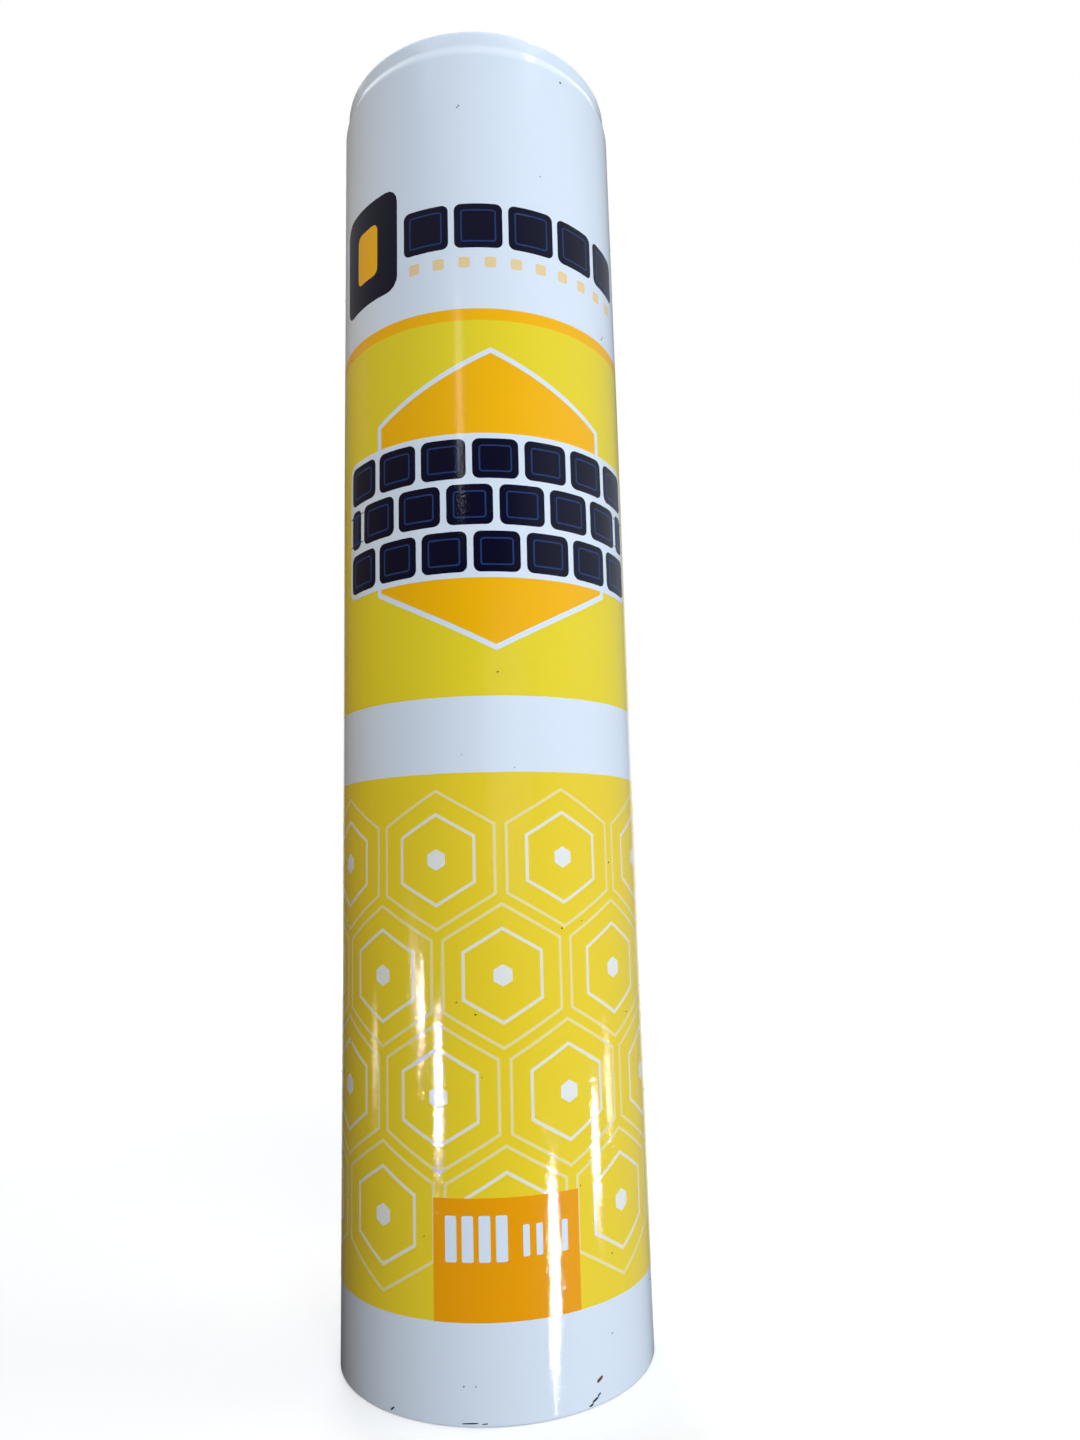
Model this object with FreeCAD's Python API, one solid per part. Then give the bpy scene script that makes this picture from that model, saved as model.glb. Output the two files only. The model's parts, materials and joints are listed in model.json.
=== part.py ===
"""Sealant cartridge for a skeleton gun: one moulded barrel with a closed spout, a
lipped piston pushed in from the open rear end, and the sealant between them.

Millimetres, +Z along the barrel towards the spout. The origin is the centre of the
rear rim, on which the cartridge stands. The front of the printed face looks along -Y.
"""

import FreeCAD
import Part

import math
import os

# Barrel, a thin moulded tube, open at the rear
BODY_LENGTH = 216.0         # rear rim to front rim
BODY_RADIUS = 24.75         # outside of the tube
BARREL_WALL = 1.25
REAR_CHAMFER = 0.3          # outer edge of the rear rim
LEAD_IN = 0.5               # widening at the mouth of the bore, where the piston enters
LEAD_IN_LENGTH = 1.6

# Front collar, drawn in a little from the tube, and the disc sunk inside it
COLLAR_LENGTH = 4.75        # rim down to where the tube starts to draw in
COLLAR_TAPER = 1.4          # length of the draw-in
COLLAR_STEP = 0.55          # how far the collar stands back from the tube
COLLAR_ROUND = 0.6
COLLAR_WALL = 1.6           # at the rim, above the disc
RIM_CHAMFER = 0.3           # inner edge of the front rim
DISC_DEPTH = 2.4            # rim down to the disc's outer face
DISC_THICKNESS = 1.5
DISC_CORNER = 0.7           # slope between disc and rim, outside
BORE_CORNER = 1.2           # slope between disc and bore, inside

# Spout: base ring, stem and the closed tip that is cut off before use
BASE_RING_RADIUS = 9.2
BASE_RING_HEIGHT = 1.8
STEM_RADIUS = 7.5           # crest of its screw thread, which is finer than this model
STEM_HEIGHT = 14.2          # base ring to the shoulder under the tip
STEM_WALL = 2.3
STEM_CHAMFER = 0.6
TIP_RADIUS = 4.4
TIP_TAPER = 0.7             # how far the tip narrows
TIP_HEIGHT = 3.4
TIP_WALL = 1.0
TIP_CHAMFER = 0.5

# Gussets that stiffen the disc around the spout
GUSSET_COUNT = 8
GUSSET_THICKNESS = 1.2
GUSSET_GAP = 3.0            # from its outer end to the slope at the rim
GUSSET_HEIGHT = 1.5

# Piston, a thin cup with a wiping lip at each end
LIP_CLEARANCE = 0.08        # lip to bore, all round
PISTON_HEIGHT = 18.0
PISTON_WALL = 1.3
PISTON_FACE = 1.4           # thickness of the front face
LIP_HEIGHT = 3.2
LIP_DEPTH = 0.9             # lip beyond the skirt
LIP_EDGE = 0.5              # flat land at the edge of the lip
FRONT_BEVEL = 1.3           # matches the slope between disc and bore
PISTON_CORNER = 1.0         # inside, between skirt and face
PISTON_SETBACK = 22.6       # rear rim to the piston's rear edge, in a full cartridge
STOP_CLEARANCE = 0.3        # piston face to disc, when empty
BOSS_RADIUS = 6.5
BOSS_WALL = 1.2
BOSS_HEIGHT = 3.6
PISTON_RIBS = 8
PISTON_RIB_THICKNESS = 1.0
PISTON_RIB_HEIGHT = 3.0

# Sealant
FILL_CLEARANCE = 0.2        # sealant to piston face

OVERSHOOT = 1.0             # how far a cutting tool runs past what it cuts

# Sizes that follow
BORE_RADIUS = BODY_RADIUS - BARREL_WALL
COLLAR_RADIUS = BODY_RADIUS - COLLAR_STEP
COLLAR_START = BODY_LENGTH - COLLAR_LENGTH
RIM_INNER_RADIUS = COLLAR_RADIUS - COLLAR_WALL
DISC_TOP = BODY_LENGTH - DISC_DEPTH
DISC_BOTTOM = DISC_TOP - DISC_THICKNESS
RING_TOP = DISC_TOP + BASE_RING_HEIGHT
STEM_TOP = RING_TOP + STEM_HEIGHT
TIP_TOP = STEM_TOP + TIP_HEIGHT
STEM_BORE = STEM_RADIUS - STEM_WALL
TIP_BORE = TIP_RADIUS - TIP_TAPER - TIP_WALL
LIP_RADIUS = BORE_RADIUS - LIP_CLEARANCE
SKIRT_RADIUS = LIP_RADIUS - LIP_DEPTH
PISTON_FRONT = PISTON_SETBACK + PISTON_HEIGHT
PISTON_TRAVEL = DISC_BOTTOM - STOP_CLEARANCE - PISTON_FRONT

UP = FreeCAD.Vector(0, 0, 1)
CENTRE = FreeCAD.Vector(0, 0, 0)


def turned(corners):
    """Solid of revolution about Z from (radius, height) corners. A third value rounds a corner."""
    points = [FreeCAD.Vector(corner[0], 0, corner[1]) for corner in corners]
    arrivals = []
    departures = []
    edges = []
    for i, corner in enumerate(corners):
        here = points[i]
        arrival = departure = here
        if len(corner) == 3:
            back = (points[i - 1] - here).normalize()
            ahead = (points[(i + 1) % len(points)] - here).normalize()
            half_angle = back.getAngle(ahead) / 2
            reach = corner[2] / math.tan(half_angle)
            depth = corner[2] / math.sin(half_angle) - corner[2]
            arrival = here + back * reach
            departure = here + ahead * reach
            middle = here + (back + ahead).normalize() * depth
            edges.append(Part.Arc(arrival, middle, departure).toShape())
        arrivals.append(arrival)
        departures.append(departure)
    for i, departure in enumerate(departures):
        edges.append(Part.LineSegment(departure, arrivals[(i + 1) % len(arrivals)]).toShape())
    outline = Part.Wire(Part.__sortEdges__(edges))
    return Part.Face(outline).revolve(CENTRE, UP, 360)


def round_the_axis(piece, count):
    """The piece and its copies, evenly spaced about Z."""
    copies = []
    for i in range(count):
        copy = piece.copy()
        copy.rotate(CENTRE, UP, 360.0 * i / count)
        copies.append(copy)
    return copies


def cavity():
    """Everything hollow in the barrel: bore, stem bore and the blind bore of the tip."""
    return turned([
        (0, -OVERSHOOT),
        (BORE_RADIUS + LEAD_IN, -OVERSHOOT),
        (BORE_RADIUS + LEAD_IN, 0),
        (BORE_RADIUS, LEAD_IN_LENGTH),
        (BORE_RADIUS, DISC_BOTTOM - BORE_CORNER),
        (BORE_RADIUS - BORE_CORNER, DISC_BOTTOM),
        (STEM_BORE, DISC_BOTTOM),
        (STEM_BORE, STEM_TOP - TIP_WALL),
        (TIP_BORE, STEM_TOP),
        (TIP_BORE, TIP_TOP - TIP_WALL),
        (0, TIP_TOP - TIP_WALL),
    ])


def barrel_outside():
    """Tube, drawn-in collar, sunk disc and spout, as one solid blank."""
    return turned([
        (0, 0),
        (BODY_RADIUS - REAR_CHAMFER, 0),
        (BODY_RADIUS, REAR_CHAMFER),
        (BODY_RADIUS, COLLAR_START),
        (COLLAR_RADIUS, COLLAR_START + COLLAR_TAPER),
        (COLLAR_RADIUS, BODY_LENGTH, COLLAR_ROUND),
        (RIM_INNER_RADIUS + RIM_CHAMFER, BODY_LENGTH),
        (RIM_INNER_RADIUS, BODY_LENGTH - RIM_CHAMFER),
        (RIM_INNER_RADIUS, DISC_TOP + DISC_CORNER),
        (RIM_INNER_RADIUS - DISC_CORNER, DISC_TOP),
        (BASE_RING_RADIUS, DISC_TOP),
        (BASE_RING_RADIUS, RING_TOP),
        (STEM_RADIUS, RING_TOP),
        (STEM_RADIUS, STEM_TOP - STEM_CHAMFER),
        (STEM_RADIUS - STEM_CHAMFER, STEM_TOP),
        (TIP_RADIUS, STEM_TOP),
        (TIP_RADIUS - TIP_TAPER, TIP_TOP - TIP_CHAMFER),
        (TIP_RADIUS - TIP_TAPER - TIP_CHAMFER, TIP_TOP),
        (0, TIP_TOP),
    ])


def gusset():
    """One low triangular web on the disc, from the base ring outwards along +X."""
    inner = (BASE_RING_RADIUS + STEM_RADIUS) / 2
    outer = RIM_INNER_RADIUS - DISC_CORNER - GUSSET_GAP
    foot = DISC_TOP - DISC_THICKNESS / 2
    face = Part.Face(Part.makePolygon([
        FreeCAD.Vector(inner, -GUSSET_THICKNESS / 2, foot),
        FreeCAD.Vector(outer, -GUSSET_THICKNESS / 2, foot),
        FreeCAD.Vector(outer, -GUSSET_THICKNESS / 2, DISC_TOP),
        FreeCAD.Vector(BASE_RING_RADIUS, -GUSSET_THICKNESS / 2, DISC_TOP + GUSSET_HEIGHT),
        FreeCAD.Vector(inner, -GUSSET_THICKNESS / 2, DISC_TOP + GUSSET_HEIGHT),
        FreeCAD.Vector(inner, -GUSSET_THICKNESS / 2, foot),
    ]))
    return face.extrude(FreeCAD.Vector(0, GUSSET_THICKNESS, 0))


def barrel():
    blank = barrel_outside().fuse(round_the_axis(gusset(), GUSSET_COUNT))
    return blank.cut(cavity())


def above(height):
    """A block that holds everything above a height."""
    side = 4 * BODY_RADIUS
    corner = FreeCAD.Vector(-side / 2, -side / 2, height)
    return Part.makeBox(side, side, TIP_TOP - height + OVERSHOOT, corner)


def piston():
    """Cup with its closed face forward, a wiping lip at each end, a boss and ribs."""
    inner = SKIRT_RADIUS - PISTON_WALL
    back_of_face = PISTON_FRONT - PISTON_FACE
    lip_front = PISTON_FRONT - FRONT_BEVEL
    cup = turned([
        (0, back_of_face),
        (inner - PISTON_CORNER, back_of_face),
        (inner, back_of_face - PISTON_CORNER),
        (inner, PISTON_SETBACK),
        (LIP_RADIUS, PISTON_SETBACK),
        (LIP_RADIUS, PISTON_SETBACK + LIP_EDGE),
        (SKIRT_RADIUS, PISTON_SETBACK + LIP_HEIGHT),
        (SKIRT_RADIUS, lip_front - LIP_HEIGHT),
        (LIP_RADIUS, lip_front - LIP_EDGE),
        (LIP_RADIUS, lip_front),
        (LIP_RADIUS - FRONT_BEVEL, PISTON_FRONT),
        (0, PISTON_FRONT),
    ])
    boss = Part.makeCylinder(BOSS_RADIUS, BOSS_HEIGHT + PISTON_FACE / 2)
    boss_bore = Part.makeCylinder(BOSS_RADIUS - BOSS_WALL, BOSS_HEIGHT)
    tube = boss.cut(boss_bore)
    tube.translate(FreeCAD.Vector(0, 0, back_of_face - BOSS_HEIGHT))
    rib_start = BOSS_RADIUS - BOSS_WALL / 2
    rib = Part.makeBox(
        SKIRT_RADIUS - PISTON_WALL / 2 - rib_start,
        PISTON_RIB_THICKNESS,
        PISTON_RIB_HEIGHT + PISTON_FACE / 2,
        FreeCAD.Vector(rib_start, -PISTON_RIB_THICKNESS / 2, back_of_face - PISTON_RIB_HEIGHT),
    )
    return cup.fuse([tube] + round_the_axis(rib, PISTON_RIBS)).removeSplitter()


def sealant():
    """The fill, from just ahead of the piston to the blind tip of the spout."""
    return cavity().common(above(PISTON_FRONT + FILL_CLEARANCE))


os.makedirs("parts", exist_ok=True)
solids = {"barrel": barrel(), "piston": piston(), "sealant": sealant()}
for name, shape in solids.items():
    shape.exportStep(f"parts/{name}.step")
    print(
        f"{name}: valid {shape.isValid()}, {len(shape.Solids)} solid, {shape.Volume / 1000:.2f} cm3,"
        f" z {shape.BoundBox.ZMin:.2f} to {shape.BoundBox.ZMax:.2f}"
    )
print(f"piston travel {PISTON_TRAVEL:.2f}")
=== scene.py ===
import json
import math
import random

import bmesh
import bpy
from mathutils import Matrix, Vector


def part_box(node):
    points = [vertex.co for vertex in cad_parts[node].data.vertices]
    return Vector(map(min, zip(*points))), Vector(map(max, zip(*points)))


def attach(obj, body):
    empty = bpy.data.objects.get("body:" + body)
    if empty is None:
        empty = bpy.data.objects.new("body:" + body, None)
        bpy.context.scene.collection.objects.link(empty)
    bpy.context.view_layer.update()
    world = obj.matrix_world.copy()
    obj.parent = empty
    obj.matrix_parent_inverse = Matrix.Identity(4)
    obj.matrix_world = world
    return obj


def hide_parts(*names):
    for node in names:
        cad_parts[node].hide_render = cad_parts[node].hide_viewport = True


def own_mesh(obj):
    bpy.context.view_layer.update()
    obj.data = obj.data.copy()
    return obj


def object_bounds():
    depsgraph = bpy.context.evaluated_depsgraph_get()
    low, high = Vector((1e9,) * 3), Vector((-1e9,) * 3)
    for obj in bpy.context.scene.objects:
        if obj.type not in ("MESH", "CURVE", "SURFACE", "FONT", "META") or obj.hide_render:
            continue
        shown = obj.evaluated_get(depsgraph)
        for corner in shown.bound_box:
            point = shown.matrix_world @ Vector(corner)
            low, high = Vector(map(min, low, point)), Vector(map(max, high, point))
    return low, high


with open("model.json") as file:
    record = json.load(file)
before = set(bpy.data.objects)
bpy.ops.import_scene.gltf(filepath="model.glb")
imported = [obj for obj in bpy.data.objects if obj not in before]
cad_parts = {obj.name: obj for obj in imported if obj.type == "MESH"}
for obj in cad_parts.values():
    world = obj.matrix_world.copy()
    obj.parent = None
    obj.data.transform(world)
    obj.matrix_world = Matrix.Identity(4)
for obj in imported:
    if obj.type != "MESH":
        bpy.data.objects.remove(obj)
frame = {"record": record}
cad_low, cad_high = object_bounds()
scene = bpy.context.scene

# Camera: a phone held a hand's length in front of the barrel, low down by its rear half and
# looking slightly up, so that the tube narrows towards the spout.
MM = 0.001
CAMERA_AXIS_DISTANCE = 175.36 * MM
CAMERA_HEIGHT = 72.85 * MM
CAMERA_ROUND = math.radians(-3.704)      # from the label's middle, seen from above
CAMERA_HEADING = math.radians(6.72)      # turned to the right of +Y
CAMERA_PITCH = math.radians(9.084)
CAMERA_ROLL = math.radians(-1.504)
SENSOR = 36.0
FOCAL_IN_PHOTO = 1011.5                  # pixels, in a photograph 1440 pixels high
PHOTO_HEIGHT = 1440

camera = bpy.data.objects.new("camera", bpy.data.cameras.new("camera"))
scene.collection.objects.link(camera)
camera.data.sensor_width = SENSOR
camera.data.lens = SENSOR * FOCAL_IN_PHOTO / PHOTO_HEIGHT
camera.data.clip_start = 0.01
camera.data.clip_end = 50
camera.location = (
    CAMERA_AXIS_DISTANCE * math.sin(CAMERA_ROUND),
    -CAMERA_AXIS_DISTANCE * math.cos(CAMERA_ROUND),
    CAMERA_HEIGHT,
)
camera.rotation_euler = (
    Matrix.Rotation(-CAMERA_HEADING, 3, "Z")
    @ Matrix.Rotation(math.pi / 2 + CAMERA_PITCH, 3, "X")
    @ Matrix.Rotation(CAMERA_ROLL, 3, "Z")
).to_euler()
scene.camera = camera
scene.view_settings.view_transform = "Standard"

# Barrel: one injection moulding in white HDPE. A straight thin tube, drawn in to a collar at
# the front, where a sunk disc with eight gussets carries the closed spout.
mounts = {mount["name"]: mount for mount in frame["record"]["mounts"]}
TUBE_RADIUS = mounts["barrel_body"]["dims"]["r_mm"]
STEM_RADIUS = mounts["spout_thread"]["dims"]["r_mm"]
FRONT_RIM = mounts["front_rim"]["pos_m"][2] / MM
TIP_TOP = cad_high.z / MM
WALL = 1.25                              # this size and those below are in millimetres
BORE_RADIUS = TUBE_RADIUS - WALL
BORE_FLARE = (0.5, 1.6)                  # out and up, at the rear rim
COLLAR_RADIUS = 24.2
COLLAR_INSIDE = 22.6
COLLAR_STRAIGHT = 3.35                   # from the rim down to the taper
COLLAR_LENGTH = 4.75                     # and to the taper's end
DISC_TOP = FRONT_RIM - 2.4
DISC_BOTTOM = DISC_TOP - 1.5
BASE_RING_RADIUS = 9.2
RING_TOP = DISC_TOP + 1.8
STEM_TOP = RING_TOP + 14.2
STEM_BORE = 5.2
TIP_RADIUS = 3.7
TIP_FOOT_RADIUS = 4.4
TIP_BORE = 2.7
TIP_WALL = 1.0
THREAD_DEPTH = 0.8
CORE_RADIUS = STEM_RADIUS - THREAD_DEPTH
ROUND_STEPS = 288
SHARP_ANGLE = math.radians(32)
GUSSETS = 8
GUSSET_SIZE = (10.0, 1.2, 2.25)          # along the radius, across, and high, its foot in the disc
GUSSET_MIDDLE = (13.8, 0, 0.375)         # from the axis, and above the disc
GUSSET_FALL = 1.5                        # its top is that much lower at the outer end


def linear(colour):
    """An sRGB hex colour as linear RGBA."""
    parts = [int(colour[i:i + 2], 16) / 255 for i in (1, 3, 5)]
    return [c / 12.92 if c <= 0.04045 else ((c + 0.055) / 1.055) ** 2.4 for c in parts] + [1]


def add(tree, kind, settings, links):
    """Adds a node with its settings, and links {input: (node, output)}. Inputs take values too."""
    node = tree.nodes.new(kind)
    for name, value in settings.items():
        if isinstance(name, int) or name in node.inputs:
            node.inputs[name].default_value = value
        else:
            setattr(node, name, value)
    for name, (source, output) in links.items():
        tree.links.new(source.outputs[output], node.inputs[name])
    return node


def finished(name, bm, body, material):
    """The bmesh, drawn in millimetres, as an object in metres that rides on a body."""
    bmesh.ops.remove_doubles(bm, verts=bm.verts, dist=1e-4)
    bmesh.ops.recalc_face_normals(bm, faces=bm.faces)
    for face in bm.faces:
        face.smooth = True
    for edge in bm.edges:
        edge.smooth = edge.calc_face_angle(0) < SHARP_ANGLE
    bmesh.ops.scale(bm, vec=Vector((MM, MM, MM)), verts=bm.verts)
    mesh = bpy.data.meshes.new(name)
    bm.to_mesh(mesh)
    bm.free()
    mesh.materials.append(material)
    piece = bpy.data.objects.new(name, mesh)
    scene.collection.objects.link(piece)
    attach(piece, body)
    return piece


def lathe(corners):
    """A closed shell turned about Z from (radius, height, rounding) corners."""
    bm = bmesh.new()
    points = [bm.verts.new((radius, 0, height)) for radius, height, _ in corners]
    meets_axis = corners[0][0] == 0
    for i in range(1 if meets_axis else 0, len(points)):
        bm.edges.new((points[i - 1], points[i]))
    for point, (_, _, rounding) in zip(points, corners):
        if rounding:
            bmesh.ops.bevel(
                bm, geom=[point], offset=rounding, segments=5, profile=0.5,
                affect="VERTICES", material=-1,
            )
    bmesh.ops.spin(
        bm, geom=bm.verts[:] + bm.edges[:], cent=(0, 0, 0), axis=(0, 0, 1), dvec=(0, 0, 0),
        angle=2 * math.pi, steps=ROUND_STEPS, use_merge=True,
    )
    bmesh.ops.remove_doubles(bm, verts=bm.verts, dist=1e-4)
    return bm


def round_the_axis(bm, made, count):
    """Repeats what was just made, evenly about Z."""
    bmesh.ops.spin(
        bm, geom=made, cent=(0, 0, 0), axis=(0, 0, 1), dvec=(0, 0, 0),
        angle=2 * math.pi, steps=count, use_duplicate=True, use_merge=True,
    )


# Moulded HDPE and the inks cured on it share one skin: a gloss with the faint orange peel of
# the mould's polish, slow waves along the wall, and a film of handling marks that dulls it.
# The peel makes a lamp's streak sparkle at its edges, and the waves make it waver.
PEEL_SIZE = 0.3                          # mm across a bump, twice the real size so that it shows
WAVE_SIZE = 14.0                         # mm from one sink mark to the next
SMEAR_SIZE = 22.0                        # mm, about a fingertip
PEEL_HEIGHT = 0.016
WAVE_HEIGHT = 0.05
SMEAR_DULLS = 0.03                       # roughness that the thickest smear adds


def glossy_skin(name, colour, roughness, mottle):
    """HDPE or ink: a colour with a little mottling, and the shared peel, waves and smears."""
    material = bpy.data.materials.new(name)
    material.use_nodes = True
    tree = material.node_tree
    tree.nodes.clear()
    place = add(tree, "ShaderNodeTexCoord", {}, {})
    peel = add(
        tree, "ShaderNodeTexNoise",
        {"Scale": 1 / (PEEL_SIZE * MM), "Detail": 1.0},
        {"Vector": (place, "Object")},
    )
    wave = add(
        tree, "ShaderNodeTexNoise",
        {"Scale": 1 / (WAVE_SIZE * MM), "Detail": 1.0},
        {"Vector": (place, "Object")},
    )
    smear = add(
        tree, "ShaderNodeTexNoise",
        {"Scale": 1 / (SMEAR_SIZE * MM), "Detail": 6.0, "Roughness": 0.65, "Distortion": 0.4},
        {"Vector": (place, "Object")},
    )
    dull = add(
        tree, "ShaderNodeMapRange",
        {
            "From Min": 0.3, "From Max": 0.7,
            "To Min": roughness, "To Max": roughness + SMEAR_DULLS,
        },
        {"Value": (smear, "Fac")},
    )
    pale = [c * (1 + mottle) for c in linear(colour)[:3]] + [1]
    deep = [c * (1 - mottle) for c in linear(colour)[:3]] + [1]
    tint = add(
        tree, "ShaderNodeMix",
        {"data_type": "RGBA", "A": deep, "B": pale},
        {"Factor": (smear, "Fac")},
    )
    small = add(
        tree, "ShaderNodeBump",
        {"Strength": 1.0, "Distance": PEEL_HEIGHT * MM},
        {"Height": (peel, "Fac")},
    )
    large = add(
        tree, "ShaderNodeBump",
        {"Strength": 0.12, "Distance": WAVE_HEIGHT * MM},
        {"Height": (wave, "Fac"), "Normal": (small, "Normal")},
    )
    skin = add(
        tree, "ShaderNodeBsdfPrincipled",
        {"IOR": 1.5},
        {
            "Base Color": (tint, "Result"), "Roughness": (dull, "Result"),
            "Normal": (large, "Normal"),
        },
    )
    add(tree, "ShaderNodeOutputMaterial", {}, {"Surface": (skin, "BSDF")})
    return material


# White HDPE from a polished mould: a clean, faintly blue white with a smooth wet gloss.
white_hdpe = glossy_skin("white_hdpe_polished", "#E3EBF3", 0.075, 0.012)

shell = lathe([
    (0, TIP_TOP, 0),
    (TIP_RADIUS, TIP_TOP, 0.5),
    (TIP_FOOT_RADIUS, STEM_TOP, 0.2),
    (CORE_RADIUS, STEM_TOP, 0.3),
    (CORE_RADIUS, RING_TOP, 0.25),
    (BASE_RING_RADIUS, RING_TOP, 0.3),
    (BASE_RING_RADIUS, DISC_TOP, 0.3),
    (COLLAR_INSIDE, DISC_TOP, 0.7),
    (COLLAR_INSIDE, FRONT_RIM, 0.3),
    (COLLAR_RADIUS, FRONT_RIM, 0.9),
    (COLLAR_RADIUS, FRONT_RIM - COLLAR_STRAIGHT, 0.4),
    (TUBE_RADIUS, FRONT_RIM - COLLAR_LENGTH, 0.6),
    (TUBE_RADIUS, 0, 0.22),
    (BORE_RADIUS + BORE_FLARE[0], 0, 0.1),
    (BORE_RADIUS, BORE_FLARE[1], 0.3),
    (BORE_RADIUS, DISC_BOTTOM, 1.0),
    (STEM_BORE, DISC_BOTTOM, 0.3),
    (STEM_BORE, STEM_TOP - TIP_WALL, 0.2),
    (TIP_BORE, STEM_TOP, 0.2),
    (TIP_BORE, TIP_TOP - TIP_WALL, 0),
    (0, TIP_TOP - TIP_WALL, 0),
])
web = bmesh.ops.create_cube(shell, size=1)["verts"]
bmesh.ops.scale(shell, vec=Vector(GUSSET_SIZE), verts=web)
for corner in web:
    if corner.co.x > 0 and corner.co.z > 0:
        corner.co.z -= GUSSET_FALL
bmesh.ops.translate(shell, vec=Vector(GUSSET_MIDDLE) + Vector((0, 0, DISC_TOP)), verts=web)
web_faces = list({face for corner in web for face in corner.link_faces})
web_edges = list({edge for corner in web for edge in corner.link_edges})
round_the_axis(shell, web + web_edges + web_faces, GUSSETS)
barrel = finished("barrel_shell", shell, "barrel", white_hdpe)
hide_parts("barrel")

# Spout thread: part of the same moulding. One right-hand ridge of 2.5 mm pitch, which fades
# out at both ends, for the nozzle that screws on.
PITCH = 2.5
THREAD_BOTTOM = RING_TOP + 1.6
THREAD_TURNS = 4.6
STEPS_IN_A_TURN = 96
FADE = 0.3                               # of a turn, at each end
FADED = 0.02                             # part of its height that the ridge keeps there
SUNK = 0.15                              # ridge's foot below the stem's face
FOOT_HALF = 0.85                         # half the ridge's width at its foot
CREST_HALF = 0.4

thread = bmesh.new()
section = [
    (CORE_RADIUS - SUNK, -FOOT_HALF), (STEM_RADIUS, -CREST_HALF),
    (STEM_RADIUS, CREST_HALF), (CORE_RADIUS - SUNK, FOOT_HALF),
]
start = [thread.verts.new((radius, 0, THREAD_BOTTOM + height)) for radius, height in section]
for i in range(len(start)):
    thread.edges.new((start[i - 1], start[i]))
bmesh.ops.spin(
    thread, geom=thread.verts[:] + thread.edges[:], cent=(0, 0, 0), axis=(0, 0, 1),
    dvec=(0, 0, PITCH / STEPS_IN_A_TURN), angle=2 * math.pi * THREAD_TURNS,
    steps=round(THREAD_TURNS * STEPS_IN_A_TURN),
)
bmesh.ops.holes_fill(thread, edges=[edge for edge in thread.edges if edge.is_boundary])
for point in thread.verts:
    radius = math.hypot(point.co.x, point.co.y)
    turn = (point.co.z - THREAD_BOTTOM) / PITCH
    fade = min(1, max(FADED, turn / FADE), max(FADED, (THREAD_TURNS - turn) / FADE))
    kept = CORE_RADIUS - SUNK + (radius - CORE_RADIUS + SUNK) * fade
    point.co.x *= kept / radius
    point.co.y *= kept / radius
finished("spout_thread", thread, "barrel", white_hdpe)

# Print: inks screened on the tube and cured. Each colour is a film about a hundredth of a
# millimetre thick, drawn flat (arc along X, height along Z) and then laid round the tube.
FILM = 0.012                             # each colour stands this far over the one below
ROOT = 0.05                              # film's hidden foot inside the wall
SLICE = 2 * math.pi * TUBE_RADIUS / ROUND_STEPS
FIELDS = ((13.15, 89.25), (100.85, 162.3))
STRIPE = (162.3, 164.3)

# Screen inks cured to a smooth gloss, which give flat, dense colours with sharp edges. The
# lower yellow is a little nearer to gold, amber marks the stripe, badge and head, and the
# panel's orange is deeper.
INK_ROUGHNESS = 0.075
yellow_ink = glossy_skin("lemon_ink_gloss", "#F2D82A", INK_ROUGHNESS, 0.015)
warm_yellow_ink = glossy_skin("warm_yellow_ink_gloss", "#F4D42C", INK_ROUGHNESS, 0.015)
amber_ink = glossy_skin("amber_ink_gloss", "#FFBA02", INK_ROUGHNESS, 0.015)
orange_ink = glossy_skin("orange_ink_gloss", "#F6A103", INK_ROUGHNESS, 0.015)
# Navy is so near to black that it shows the gloss best, and the blue on it is a hint of a line.
navy_ink = glossy_skin("navy_ink_gloss", "#030320", 0.07, 0.05)
blue_ink = glossy_skin("blue_ink_gloss", "#20396B", INK_ROUGHNESS, 0.02)
# White looks like the bare plastic. The other pale inks are thin and let the yellow through,
# the finest lines most of all, and the tint on the white plastic looks washed out.
white_ink = glossy_skin("white_ink_gloss", "#E3EBF3", INK_ROUGHNESS, 0.012)
cream_ink = glossy_skin("cream_ink_gloss", "#F2E1A0", INK_ROUGHNESS, 0.012)
ivory_ink = glossy_skin("ivory_ink_gloss", "#EFE8D2", INK_ROUGHNESS, 0.012)
heart_ink = glossy_skin("off_white_ink_gloss", "#EFEEE6", INK_ROUGHNESS, 0.012)
pale_orange_ink = glossy_skin("pale_orange_ink_gloss", "#F3D49C", INK_ROUGHNESS, 0.015)


def band(name, bottom, top, material):
    """A film of one colour all the way round the tube."""
    outside = TUBE_RADIUS + FILM
    ring = lathe([
        (outside, top, 0), (outside, bottom, 0),
        (TUBE_RADIUS - ROOT, bottom, 0), (TUBE_RADIUS - ROOT, top, 0),
    ])
    return finished(name, ring, "barrel", material)


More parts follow.
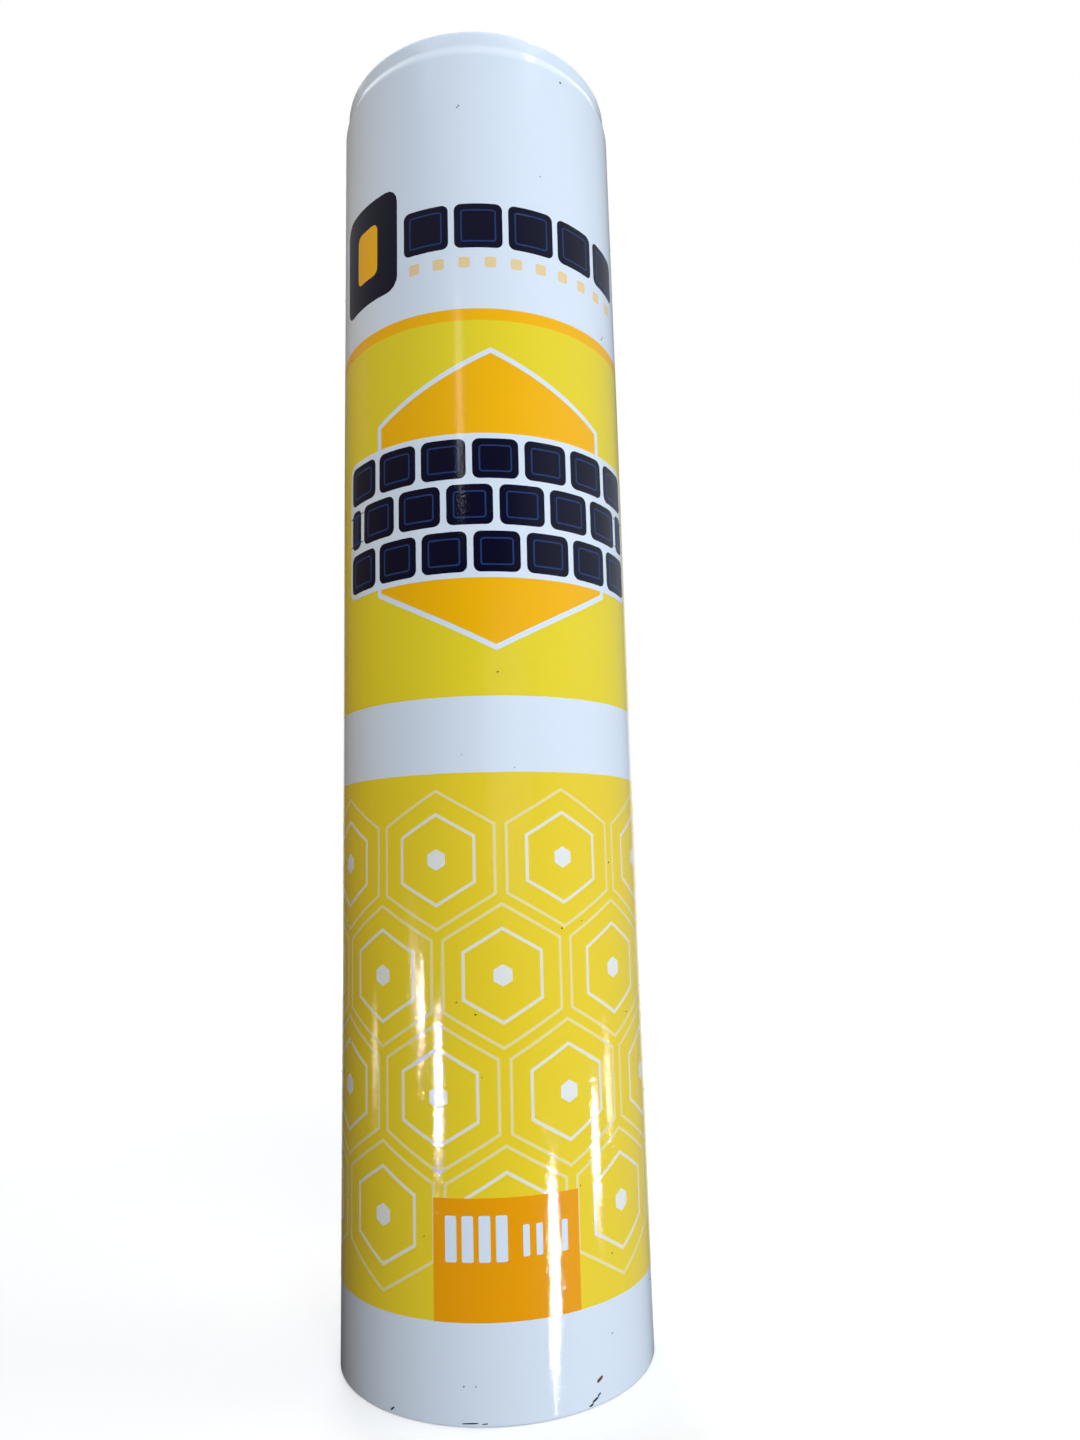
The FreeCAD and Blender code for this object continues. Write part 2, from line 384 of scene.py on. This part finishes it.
def laid(name, bm, layer, material):
    """The flat shapes of a bmesh as one film, laid round the tube on the colours below it."""
    reach = max(abs(point.co.x) for point in bm.verts)
    for i in range(-int(reach / SLICE), int(reach / SLICE) + 1):
        bmesh.ops.bisect_plane(
            bm, geom=bm.verts[:] + bm.edges[:] + bm.faces[:], dist=1e-5,
            plane_co=(i * SLICE, 0, 0), plane_no=(1, 0, 0),
        )
    bmesh.ops.solidify(bm, geom=bm.faces[:], thickness=ROOT + layer * FILM)
    for point in bm.verts:
        angle = point.co.x / TUBE_RADIUS
        radius = TUBE_RADIUS - ROOT + abs(point.co.y)
        point.co.x = radius * math.sin(angle)
        point.co.y = -radius * math.cos(angle)
    piece = finished(name, bm, "barrel", material)
    mesh = piece.data
    normals = []
    for face in mesh.polygons:
        for i in face.vertices:
            out = Vector((mesh.vertices[i].co.x, mesh.vertices[i].co.y, 0)).normalized()
            # The film's face shades like the tube, and its rim by its own normal.
            normals.append(out if face.normal.dot(out) > 0.9 else Vector())
    mesh.normals_split_custom_set(normals)
    return piece


def drawn(bm, corners, rounding=0.0):
    """Adds one flat shape by its (arc, height) corners."""
    points = [bm.verts.new((arc, 0, height)) for arc, height in corners]
    bm.faces.new(points)
    if rounding:
        bmesh.ops.bevel(
            bm, geom=points, offset=rounding, segments=4, profile=0.5,
            affect="VERTICES", material=-1,
        )


def box(bm, left, right, bottom, top, rounding=0.0):
    """Adds one upright rectangle."""
    drawn(bm, [(left, bottom), (right, bottom), (right, top), (left, top)], rounding)


for number, (bottom, top) in enumerate(FIELDS):
    band(f"yellow_field_{number + 1}", bottom, top, (warm_yellow_ink, yellow_ink)[number])
band("amber_stripe", STRIPE[0], STRIPE[1], amber_ink)

# Badge: a tall amber hexagon with a white line round it, screened over the upper yellow
# field. Both are films, the line's colour showing round the edge of the one above it.
BADGE_MIDDLE = 132.7
BADGE_HALF_WIDTH = 19.6
BADGE_SHOULDER = 13.9
BADGE_POINT = 23.9
BADGE_LINE = 0.85


def hexagon(bm, grow):
    """A pointed hexagon, moved outwards by grow on all its sides."""
    slope = math.atan2(BADGE_POINT - BADGE_SHOULDER, BADGE_HALF_WIDTH)
    width = BADGE_HALF_WIDTH + grow
    point = BADGE_POINT + grow / math.cos(slope)
    shoulder = point - width * math.tan(slope)
    drawn(bm, [
        (0, BADGE_MIDDLE - point), (width, BADGE_MIDDLE - shoulder),
        (width, BADGE_MIDDLE + shoulder), (0, BADGE_MIDDLE + point),
        (-width, BADGE_MIDDLE + shoulder), (-width, BADGE_MIDDLE - shoulder),
    ])


badge_line = bmesh.new()
hexagon(badge_line, BADGE_LINE)
laid("badge_line", badge_line, 2, white_ink)
badge = bmesh.new()
hexagon(badge, 0)
laid("badge", badge, 3, amber_ink)

# Wall tiles: three courses of navy tiles on a white ground across the badge, laid like brick.
# Each tile is one navy film with a thin blue line round its middle.
COURSES = (138.8, 131.25, 123.6)
COURSE_HEIGHT = 6.6
COURSE_LEFT = -28.4
COURSE_RIGHT = 29.2
TILES = 7
JOINT = 1.0
GROUND_EDGE = 0.9
TILE_ROUND = 1.1
TILE_INSET = 1.05
TILE_LINE = 0.26


def tile_course(solid, lines, middle, height, left, right, count, half_shift):
    """A course of tiles between two arcs, with a smaller box in each for its line. A shifted
    course starts and ends with a half tile."""
    width = (right - left + JOINT) / count
    start = left - (width / 2 if half_shift else 0)
    for i in range(count + half_shift):
        near, far = max(left, start + i * width), min(right, start + (i + 1) * width - JOINT)
        low, high = middle - height / 2, middle + height / 2
        box(solid, near, far, low, high, TILE_ROUND)
        box(
            lines, near + TILE_INSET, far - TILE_INSET, low + TILE_INSET, high - TILE_INSET,
            TILE_ROUND / 2,
        )


def hollowed(bm, width):
    """Leaves only a rim of each flat shape."""
    bm.normal_update()
    shapes = bm.faces[:]
    bmesh.ops.inset_individual(bm, faces=shapes, thickness=width, use_even_offset=True)
    bmesh.ops.delete(bm, geom=shapes, context="FACES")


ground = bmesh.new()
box(
    ground, COURSE_LEFT - GROUND_EDGE, COURSE_RIGHT + GROUND_EDGE,
    COURSES[-1] - COURSE_HEIGHT / 2 - GROUND_EDGE, COURSES[0] + COURSE_HEIGHT / 2 + GROUND_EDGE,
    TILE_ROUND + GROUND_EDGE,
)
laid("tile_ground", ground, 4, white_ink)
tiles = bmesh.new()
tile_lines = bmesh.new()
for number, middle in enumerate(COURSES):
    tile_course(
        tiles, tile_lines, middle, COURSE_HEIGHT, COURSE_LEFT, COURSE_RIGHT, TILES, number % 2,
    )
hollowed(tile_lines, TILE_LINE)
laid("tiles", tiles, 5, navy_ink)
laid("tile_lines", tile_lines, 6, blue_ink)

# Head of the label: a big navy tile with an amber one in it, a navy course beside it, and a
# pale course of small tiles under that, all screened straight on the white plastic.
HEAD_LEFT = -31.0
HEAD_RIGHT = 29.2
BIG_WIDTH, BIG_BOTTOM, BIG_TOP = 15.0, 170.2, 188.8
BIG_ROUND = 2.5
BIG_INSET = 4.6
CORE_ROUND = 1.2
HEAD_START = -14.6                       # left end of the navy course
HEAD_MIDDLE = 179.0
HEAD_HEIGHT = 7.9
HEAD_TILES = 5
PALE_START = HEAD_START + 1
PALE_MIDDLE = 172.5
PALE_HALF = 0.95                         # half a small tile's side
PALE_ROUND = 0.4
PALE_PITCH = 4.3
PALE_TILES = 10

head = bmesh.new()
head_lines = bmesh.new()
box(head, HEAD_LEFT, HEAD_LEFT + BIG_WIDTH, BIG_BOTTOM, BIG_TOP, BIG_ROUND)
tile_course(
    head, head_lines, HEAD_MIDDLE, HEAD_HEIGHT, HEAD_START, HEAD_RIGHT, HEAD_TILES, False,
)
hollowed(head_lines, TILE_LINE)
laid("head_tiles", head, 1, navy_ink)
laid("head_lines", head_lines, 2, blue_ink)
head_core = bmesh.new()
box(
    head_core, HEAD_LEFT + BIG_INSET, HEAD_LEFT + BIG_WIDTH - BIG_INSET,
    BIG_BOTTOM + BIG_INSET, BIG_TOP - BIG_INSET, CORE_ROUND,
)
laid("head_core", head_core, 2, amber_ink)
head_pale = bmesh.new()
for i in range(PALE_TILES):
    left = PALE_START + i * PALE_PITCH
    box(
        head_pale, left, left + 2 * PALE_HALF, PALE_MIDDLE - PALE_HALF, PALE_MIDDLE + PALE_HALF,
        PALE_ROUND,
    )
laid("head_pale_tiles", head_pale, 1, pale_orange_ink)

# Line pattern: hexagonal cells screened over the lower yellow field, all round the tube.
# Each has a cream outline, a smaller ivory one and a small off-white hexagon at its middle.
CELLS_ROUND = 8
CELL_ROWS = 4
CELL_OUTLINE = (0.93, 0.42)              # part of its place that it fills, and line width
CELL_CORE = (0.62, 0.48)
CELL_HEART = 1.6                         # from its middle to a corner

pitch = 2 * math.pi * TUBE_RADIUS / CELLS_ROUND
side = pitch / math.sqrt(3)              # rows stand one and a half sides apart
field_middle = (FIELDS[0][0] + FIELDS[0][1]) / 2
outlines = bmesh.new()
cores = bmesh.new()
hearts = bmesh.new()
for row in range(CELL_ROWS):
    height = field_middle + (row - (CELL_ROWS - 1) / 2) * 1.5 * side
    for place in range(CELLS_ROUND):
        arc = (place - CELLS_ROUND / 2 + row % 2 / 2) * pitch
        for cells, reach in (
            (outlines, side * CELL_OUTLINE[0]), (cores, side * CELL_CORE[0]), (hearts, CELL_HEART),
        ):
            drawn(cells, [
                (arc + reach * math.sin(turn), height - reach * math.cos(turn))
                for turn in (i * math.pi / 3 for i in range(6))
            ])
hollowed(outlines, CELL_OUTLINE[1])
hollowed(cores, CELL_CORE[1])
laid("cell_outlines", outlines, 2, cream_ink)
laid("cell_cores", cores, 2, ivory_ink)
laid("cell_hearts", hearts, 2, heart_ink)

# Panel: an orange rectangle screened at the foot of the lower field, with two groups of
# white graduation bars on it, bold ones and fine ones.
PANEL = (-10.65, 10.65, 13.15, 29.3)
BOLD_BARS = (-8.9, 4, 1.65, 0.75, 20.9, 27.0)    # left, count, width, gap, bottom and top
FINE_BARS = (2.1, 4, 0.95, 0.95, 21.4, 25.6)
BAR_ROUND = 0.25

panel = bmesh.new()
box(panel, *PANEL)
laid("panel", panel, 5, orange_ink)
bars = bmesh.new()
for left, count, width, gap, bottom, top in (BOLD_BARS, FINE_BARS):
    for i in range(count):
        near = left + i * (width + gap)
        box(bars, near, near + width, bottom, top, BAR_ROUND)
laid("panel_bars", bars, 6, white_ink)

# Piston: a cup moulded in natural LDPE, with a wiping lip at each end and low ribs behind
# its face. It is seen through the open rear end.
piston_low, piston_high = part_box("piston")
PISTON_REAR = piston_low.z / MM
PISTON_FRONT = piston_high.z / MM
LIP_RADIUS = piston_high.x / MM
SKIRT_RADIUS = LIP_RADIUS - 0.9
SKIRT_INSIDE = SKIRT_RADIUS - 1.3
FACE_BACK = PISTON_FRONT - 1.4
REAR_LIP = (0.5, 3.2)                    # from the rear: end of its edge, and of its slope
FRONT_LIP = (1.3, 1.8, 4.5)              # from the front: end of chamfer, edge and slope
BOSS_RADIUS = 6.5
BOSS_INSIDE = 5.3
BOSS_HEIGHT = 3.6
RIBS = 8
RIB_WIDTH = 1.0
RIB_HEIGHT = 3.6
RIB_MIDDLE = 1.2                         # behind the face
SET_IN = 0.5                             # how far ribs and boss reach into their neighbours

# Undyed LDPE from a plain mould: a dull, waxy grey-white that is warmer than the barrel.
natural_ldpe = glossy_skin("natural_ldpe_satin", "#E3E2DA", 0.42, 0.02)
cup = lathe([
    (0, FACE_BACK, 0),
    (SKIRT_INSIDE, FACE_BACK, 1.0),
    (SKIRT_INSIDE, PISTON_REAR, 0.2),
    (LIP_RADIUS, PISTON_REAR, 0.12),
    (LIP_RADIUS, PISTON_REAR + REAR_LIP[0], 0.1),
    (SKIRT_RADIUS, PISTON_REAR + REAR_LIP[1], 0.3),
    (SKIRT_RADIUS, PISTON_FRONT - FRONT_LIP[2], 0.3),
    (LIP_RADIUS, PISTON_FRONT - FRONT_LIP[1], 0.1),
    (LIP_RADIUS, PISTON_FRONT - FRONT_LIP[0], 0.1),
    (LIP_RADIUS - FRONT_LIP[0], PISTON_FRONT, 0.3),
    (0, PISTON_FRONT, 0),
])
boss = lathe([
    (BOSS_RADIUS, FACE_BACK + SET_IN, 0), (BOSS_RADIUS, FACE_BACK - BOSS_HEIGHT, 0.2),
    (BOSS_INSIDE, FACE_BACK - BOSS_HEIGHT, 0.2), (BOSS_INSIDE, FACE_BACK + SET_IN, 0),
])
rib = bmesh.ops.create_cube(boss, size=1)["verts"]
rib_length = SKIRT_INSIDE - BOSS_RADIUS + 2 * SET_IN
bmesh.ops.scale(boss, vec=Vector((rib_length, RIB_WIDTH, RIB_HEIGHT)), verts=rib)
bmesh.ops.translate(
    boss, vec=Vector(((SKIRT_INSIDE + BOSS_RADIUS) / 2, 0, FACE_BACK - RIB_MIDDLE)), verts=rib,
)
rib_faces = list({face for corner in rib for face in corner.link_faces})
rib_edges = list({edge for corner in rib for edge in corner.link_edges})
round_the_axis(boss, rib + rib_edges + rib_faces, RIBS)
piston = finished("piston_cup", cup, "piston", natural_ldpe)
finished("piston_ribs", boss, "piston", natural_ldpe)
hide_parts("piston")

# Sealant: white silicone paste that fills the bore between piston and disc, and the spout.
# The column shortens ahead of the piston, and what stands in the spout stays.
FILL_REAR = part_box("sealant")[0].z / MM
CLEAR = 0.02                             # keeps the paste's face off the spout's

# Silicone paste pressed flat: an even warm white with a soft damp sheen.
white_silicone = glossy_skin("silicone_paste_damp", "#E9E8E4", 0.3, 0.02)
column = lathe([
    (0, FILL_REAR, 0), (BORE_RADIUS, FILL_REAR, 0.05),
    (BORE_RADIUS, DISC_BOTTOM, 1.0), (0, DISC_BOTTOM, 0),
])
fill = finished("sealant_column", column, "barrel", white_silicone)
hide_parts("sealant")
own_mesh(fill)
plug = lathe([
    (0, DISC_BOTTOM, 0), (STEM_BORE - CLEAR, DISC_BOTTOM, 0),
    (STEM_BORE - CLEAR, STEM_TOP - TIP_WALL, 0), (TIP_BORE - CLEAR, STEM_TOP, 0),
    (TIP_BORE - CLEAR, TIP_TOP - TIP_WALL - CLEAR, 0), (0, TIP_TOP - TIP_WALL - CLEAR, 0),
])
finished("sealant_in_spout", plug, "barrel", white_silicone)

# Wear: a tube that has been handled and stood about. Specks of dirt on the inks, dark scuffs
# where the rims rub, and one brown fleck near the rear end, each a film of grime.

# Dried grime and a rust stain: dark and matt, so they break the gloss where they lie.
grime = glossy_skin("dried_grime_matt", "#2B2019", 0.6, 0.2)
rust_brown = glossy_skin("rust_stain_matt", "#6B3A2A", 0.5, 0.2)
SPECKS = 70
SPECK_SIZE = (0.05, 0.12)                # radius
SPECK_STRETCH = 1.3
SPECK_ARCS = (-77, 77)
SPECK_HEIGHTS = (3, 205)
SPOT_SIDES = 9
SPOT_SHAKE = (0.75, 1.1)
SCUFFS = (                               # arc, height, length, width, turn in degrees
    (12.6, 1.0, 1.5, 0.28, 22), (13.3, 1.5, 0.7, 0.18, 30), (11.9, 0.5, 0.8, 0.25, 12),
    (-5.7, 0.55, 2.6, 0.16, 3), (-3.6, 0.5, 0.9, 0.12, 6), (-17.6, 0.8, 0.9, 0.25, 40),
    (-4.1, 54.2, 0.4, 0.25, 0), (0.1, 104.5, 0.45, 0.25, 20), (14.0, 209.6, 0.45, 0.3, 0),
)
FLECK = (13.5, 3.4, 1.3, 0.5, 24)
wear_chance = random.Random(11)


def smudge(bm, arc, height, length, width, turn):
    """A many-sided spot, pulled out and turned, with its rim shaken a little."""
    spot = bmesh.ops.create_circle(bm, cap_ends=True, segments=SPOT_SIDES, radius=0.5)["verts"]
    for point in spot:
        point.co *= wear_chance.uniform(*SPOT_SHAKE)
    bmesh.ops.scale(bm, vec=Vector((length, width, 1)), verts=spot)
    bmesh.ops.rotate(
        bm, verts=spot,
        matrix=Matrix.Rotation(math.pi / 2, 3, "X") @ Matrix.Rotation(math.radians(turn), 3, "Z"),
    )
    bmesh.ops.translate(bm, vec=Vector((arc, 0, height)), verts=spot)


dirt = bmesh.new()
for i in range(SPECKS):
    across = 2 * wear_chance.uniform(*SPECK_SIZE)
    smudge(
        dirt, wear_chance.uniform(*SPECK_ARCS), wear_chance.uniform(*SPECK_HEIGHTS),
        across * SPECK_STRETCH, across, wear_chance.uniform(0, 180),
    )
for scuff in SCUFFS:
    smudge(dirt, *scuff)
laid("specks_and_scuffs", dirt, 7, grime)
fleck = bmesh.new()
smudge(fleck, *FLECK)
laid("brown_fleck", fleck, 7, rust_brown)

# Stage: a white floor that runs into a white background. A large soft lamp stands ahead on
# the right, one behind fills the back, and the left is dim and warm. Small lamps that are seen
# only in the gloss give the streaks, some from below, as the photographed tube lay down.
FLOOR_NEAR = 0.12                        # metres from the axis, where shadow shows fully
FLOOR_FAR = 0.8                          # and where the floor is as white as the background
FLOOR_GLOW = 0.42                        # of that white, nearer than FLOOR_NEAR
FLOOR_RADIUS = 12
FLOOR_BELOW = 0.00005                    # keeps the rear rim's face off the floor's
floor_material = bpy.data.materials.new("white_floor")
floor_material.use_nodes = True
floor_tree = floor_material.node_tree
floor_tree.nodes.clear()
floor_rays = add(floor_tree, "ShaderNodeLightPath", {}, {})
floor_tint = add(
    floor_tree, "ShaderNodeMix",
    {"data_type": "RGBA", "A": linear("#5E5348"), "B": linear("#F6F6F6")},
    {"Factor": (floor_rays, "Is Camera Ray")},
)
floor_place = add(floor_tree, "ShaderNodeTexCoord", {}, {})
floor_far = add(
    floor_tree, "ShaderNodeVectorMath", {"operation": "LENGTH"}, {0: (floor_place, "Object")},
)
floor_white = add(
    floor_tree, "ShaderNodeMapRange",
    {
        "From Min": FLOOR_NEAR, "From Max": FLOOR_FAR, "To Min": FLOOR_GLOW, "To Max": 1.0,
        "interpolation_type": "SMOOTHSTEP",
    },
    {"Value": (floor_far, "Value")},
)
floor_glow = add(
    floor_tree, "ShaderNodeMath", {"operation": "MULTIPLY"},
    {0: (floor_rays, "Is Camera Ray"), 1: (floor_white, "Result")},
)
floor_skin = add(
    floor_tree, "ShaderNodeBsdfPrincipled",
    {"Roughness": 0.9, "Specular IOR Level": 0.0, "Emission Color": linear("#FFFFFF")},
    {"Base Color": (floor_tint, "Result"), "Emission Strength": (floor_glow, "Value")},
)
add(floor_tree, "ShaderNodeOutputMaterial", {}, {"Surface": (floor_skin, "BSDF")})
sheet = bmesh.new()
bmesh.ops.create_circle(sheet, cap_ends=True, segments=64, radius=FLOOR_RADIUS)
bmesh.ops.translate(sheet, vec=Vector((0, 0, -FLOOR_BELOW)), verts=sheet.verts)
floor_mesh = bpy.data.meshes.new("floor")
sheet.to_mesh(floor_mesh)
sheet.free()
floor_mesh.materials.append(floor_material)
floor = bpy.data.objects.new("floor", floor_mesh)
scene.collection.objects.link(floor)
floor.visible_glossy = False

BEHIND = math.radians(6.6)               # middle of the white background in the gloss
world = bpy.data.worlds.new("studio")
scene.world = world
world.use_nodes = True
sky = world.node_tree
sky.nodes.clear()
direction = add(sky, "ShaderNodeTexCoord", {}, {})
axes = add(sky, "ShaderNodeSeparateXYZ", {}, {"Vector": (direction, "Object")})
to_right = add(
    sky, "ShaderNodeMapRange",
    {"From Min": 0.1, "From Max": 0.9, "interpolation_type": "SMOOTHSTEP"},
    {"Value": (axes, "X")},
)
to_left = add(
    sky, "ShaderNodeMapRange",
    {"From Min": -0.2, "From Max": -0.9, "interpolation_type": "SMOOTHSTEP"},
    {"Value": (axes, "X")},
)
overhead = add(
    sky, "ShaderNodeMapRange",
    {"From Min": 0.25, "From Max": 0.85, "interpolation_type": "SMOOTHSTEP"},
    {"Value": (axes, "Z")},
)
turned = add(
    sky, "ShaderNodeVectorMath",
    {"operation": "DOT_PRODUCT", 1: (math.sin(BEHIND), math.cos(BEHIND), 0)},
    {0: (direction, "Object")},
)
behind = add(
    sky, "ShaderNodeMapRange",
    {"From Min": 0.88, "From Max": 0.94, "interpolation_type": "SMOOTHSTEP"},
    {"Value": (turned, "Value")},
)
room = add(
    sky, "ShaderNodeMix",
    {"data_type": "RGBA", "A": linear("#4B4B50"), "B": linear("#ADB6C0")},
    {"Factor": (to_right, "Result")},
)
room_left = add(
    sky, "ShaderNodeMix", {"data_type": "RGBA", "B": linear("#615950")},
    {"Factor": (to_left, "Result"), "A": (room, "Result")},
)
room_top = add(
    sky, "ShaderNodeMix", {"data_type": "RGBA", "B": linear("#95979B")},
    {"Factor": (overhead, "Result"), "A": (room_left, "Result")},
)
lighting = add(sky, "ShaderNodeBackground", {"Strength": 1.0}, {"Color": (room_top, "Result")})
seen = add(sky, "ShaderNodeBackground", {"Color": linear("#FFFFFF"), "Strength": 1.0}, {})
rays = add(sky, "ShaderNodeLightPath", {}, {})
in_gloss = add(
    sky, "ShaderNodeMath", {"operation": "MULTIPLY"},
    {0: (rays, "Is Glossy Ray"), 1: (behind, "Result")},
)
direct = add(
    sky, "ShaderNodeMath", {"operation": "MAXIMUM"},
    {0: (rays, "Is Camera Ray"), 1: (rays, "Is Transmission Ray")},
)
shown = add(
    sky, "ShaderNodeMath", {"operation": "MAXIMUM"},
    {0: (direct, "Value"), 1: (in_gloss, "Value")},
)
choice = add(
    sky, "ShaderNodeMixShader", {},
    {0: (shown, "Value"), 1: (lighting, "Background"), 2: (seen, "Background")},
)
add(sky, "ShaderNodeOutputWorld", {}, {"Surface": (choice, "Shader")})


def lamp(name, azimuth, elevation, distance, width, height, power, colour, aim, softens):
    """An area lamp aimed at a height on the axis. Azimuth is from -Y towards +X. One that
    softens lights the surface and stays out of the gloss, and any other is seen only there."""
    data = bpy.data.lights.new(name, "AREA")
    data.shape = "RECTANGLE"
    data.size = width
    data.size_y = height
    data.energy = power
    data.color = linear(colour)[:3]
    light = bpy.data.objects.new(name, data)
    scene.collection.objects.link(light)
    a, e = math.radians(azimuth), math.radians(elevation)
    ahead = Vector((math.sin(a) * math.cos(e), -math.cos(a) * math.cos(e), math.sin(e)))
    light.location = Vector((0, 0, aim * MM)) + ahead * distance
    light.rotation_euler = (-ahead).to_track_quat("-Z", "Y").to_euler()
    light.visible_glossy = not softens
    light.visible_diffuse = softens
    return data


# name, azimuth, elevation, distance, width, height, power, colour, and height aimed at in mm
for setting in (
    ("soft_lamp", 11, 6, 1.1, 0.62, 0.36, 10.2, "#E9F3FF", 95),
    ("right_lamp", 82, 15, 1.2, 0.8, 0.8, 4.5, "#EEF5FF", 100),
    ("rear_lamp", 185, 15, 1.5, 0.6, 0.6, 13.8, "#F2F6FF", 100),
):
    lamp(*setting, True)
left_lamp = lamp("left_lamp", -118, 25, 0.4, 0.14, 0.14, 0.055, "#FFF4E6", 145, True)
left_lamp.spread = math.radians(38)
for setting in (
    ("low_glint", 36.6, 0, 0.6, 0.034, 0.19, 5.0, "#FFFFFF", -234),
    ("left_glint", -43.3, 0, 0.6, 0.016, 0.055, 1.6, "#FFFFFF", -64),
    ("second_glint", -56.2, 0, 0.6, 0.008, 0.036, 0.5, "#FFFFFF", -16),
    ("third_glint", -62.5, 0, 0.6, 0.01, 0.04, 0.05, "#FFFFFF", 10),
    ("right_glint", 73.2, 0, 0.6, 0.01, 0.067, 0.7, "#FFFFFF", -110),
    ("far_right_glint", 87.6, 0, 0.6, 0.008, 0.05, 0.12, "#FFFFFF", -66),
    ("far_left_glint", -99, 0, 0.6, 0.02, 0.05, 0.08, "#FFF6E8", -44),
    ("upper_glint", -21, 0, 0.54, 0.01, 0.14, 0.05, "#FFFFFF", 413),
    ("rim_glint", 62, 62, 0.6, 0.02, 0.02, 0.5, "#FFFFFF", 213),
    ("ceiling", 0, 90, 1.2, 1.7, 1.7, 10.9, "#F4F8FF", 100),
):
    lamp(*setting, False)
